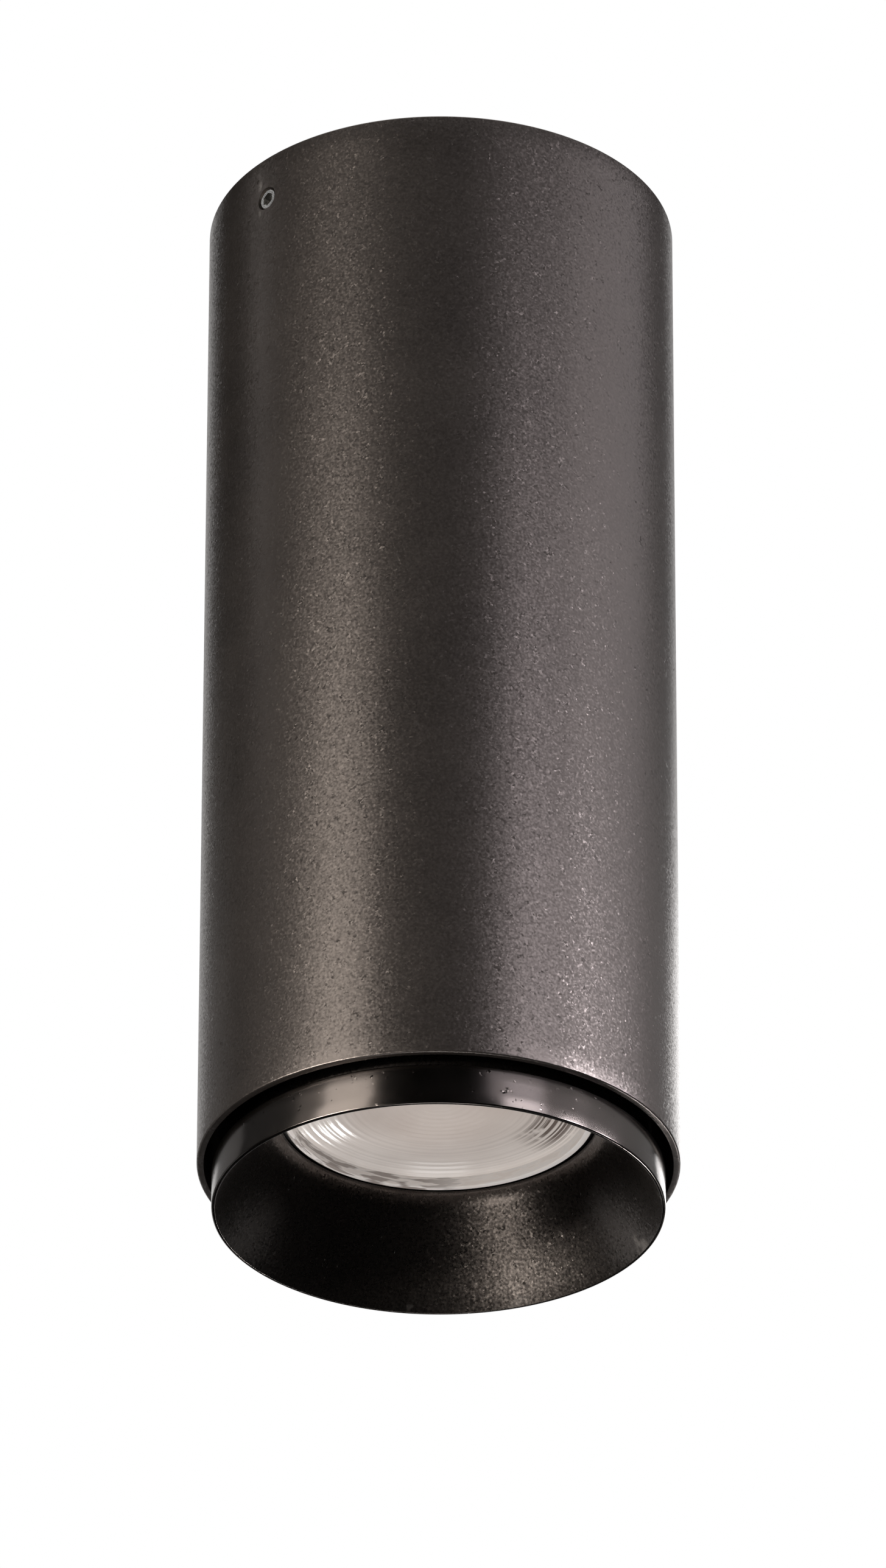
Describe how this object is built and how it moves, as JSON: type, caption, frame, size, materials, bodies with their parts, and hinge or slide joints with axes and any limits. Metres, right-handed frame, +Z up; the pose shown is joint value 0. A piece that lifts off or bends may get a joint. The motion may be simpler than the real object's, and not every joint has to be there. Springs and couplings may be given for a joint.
{
  "type": "surface mounted ceiling spotlight",
  "caption": "Slim dark cylindrical downlight that hangs on a ceiling cup, with a recessed ringed lens behind a pull-out glare ring.",
  "frame": {"origin": "centre of the ceiling cup's mounting face, between the two screw slots", "axes": "+Z up into the ceiling along the tube's axis, +X along the line of the two screw slots, -Y towards the lamp's front"},
  "size_m": [0.075, 0.075, 0.1781],
  "materials": {
    "tube_coat": "fine textured powder coat with metallic specks",
    "ring_coat": "satin coat outside, fine textured cone",
    "cup_coat": "matt powder coat",
    "grommet_rubber": "moulded",
    "set_screw_steel": "bright turned",
    "sink_aluminium": "bare extruded",
    "zinc_steel": "zinc plated",
    "bracket_steel": "galvanised sheet",
    "block_nylon": "moulded",
    "brass": "drawn",
    "driver_plastic": "moulded",
    "board_laminate": "solder mask",
    "transformer_core": "taped",
    "capacitor_can": "sleeved",
    "coil_copper": "enamelled wire",
    "lead_brown": "insulation",
    "lead_blue": "insulation",
    "lead_green": "insulation",
    "lead_black": "insulation",
    "lead_red": "insulation",
    "thermal_graphite": "graphite sheet",
    "led_base": "white ceramic",
    "led_yellow": "silicone with phosphor",
    "holder_white": "moulded",
    "lens_clear": "clear moulded optic",
    "holder_black": "moulded",
    "keeper_steel": "blackened",
    "magnet_nickel": "nickel plated"
  },
  "bodies": {
    "base": {"ceiling_cup": "cup_coat", "cable_grommet": "grommet_rubber"},
    "housing": {"housing_tube": "tube_coat", "heat_sink": "sink_aluminium", "sink_plate": "sink_aluminium", "core_screws": "zinc_steel", "sink_screws": "zinc_steel", "driver_bracket": "bracket_steel", "bracket_screws": "zinc_steel", "terminal_block": "block_nylon", "terminal_tunnels": "brass", "terminal_screws": "zinc_steel", "block_screws": "zinc_steel", "earth_screw": "zinc_steel", "earth_lug": "brass", "driver_case": "driver_plastic", "driver_lid": "driver_plastic", "driver_screws": "zinc_steel", "driver_board": "board_laminate", "driver_transformer": "transformer_core", "driver_capacitors": "capacitor_can", "driver_coil": "coil_copper", "live_lead": "lead_brown", "neutral_lead": "lead_blue", "earth_lead": "lead_green", "led_lead_minus": "lead_black", "led_lead_plus": "lead_red", "thermal_pad": "thermal_graphite", "led_substrate": "led_base", "led_phosphor": "led_yellow", "led_holder": "holder_white", "led_holder_screws": "zinc_steel", "lens": "lens_clear", "lens_holder": "holder_black", "keeper_ring": "keeper_steel", "optic_screws": "zinc_steel"},
    "set_screw_front": {"set_screw_front": "set_screw_steel"},
    "set_screw_rear": {"set_screw_rear": "set_screw_steel"},
    "glare_ring": {"glare_ring": "ring_coat", "ring_magnets": "magnet_nickel"}
  },
  "joints": [
    {"name": "housing_slide", "type": "slide", "parent": "base", "child": "housing", "axis": [0, 0, -1], "range_m": [0, 0.03]},
    {"name": "set_screw_front_out", "type": "slide", "parent": "housing", "child": "set_screw_front", "axis": [-0.7455, -0.6665, 0], "range_m": [0, 0.002]},
    {"name": "set_screw_rear_out", "type": "slide", "parent": "housing", "child": "set_screw_rear", "axis": [0.7455, 0.6665, 0], "range_m": [0, 0.002]},
    {"name": "glare_ring_pull", "type": "slide", "parent": "housing", "child": "glare_ring", "axis": [0, 0, -1], "range_m": [0, 0.02]}
  ]
}
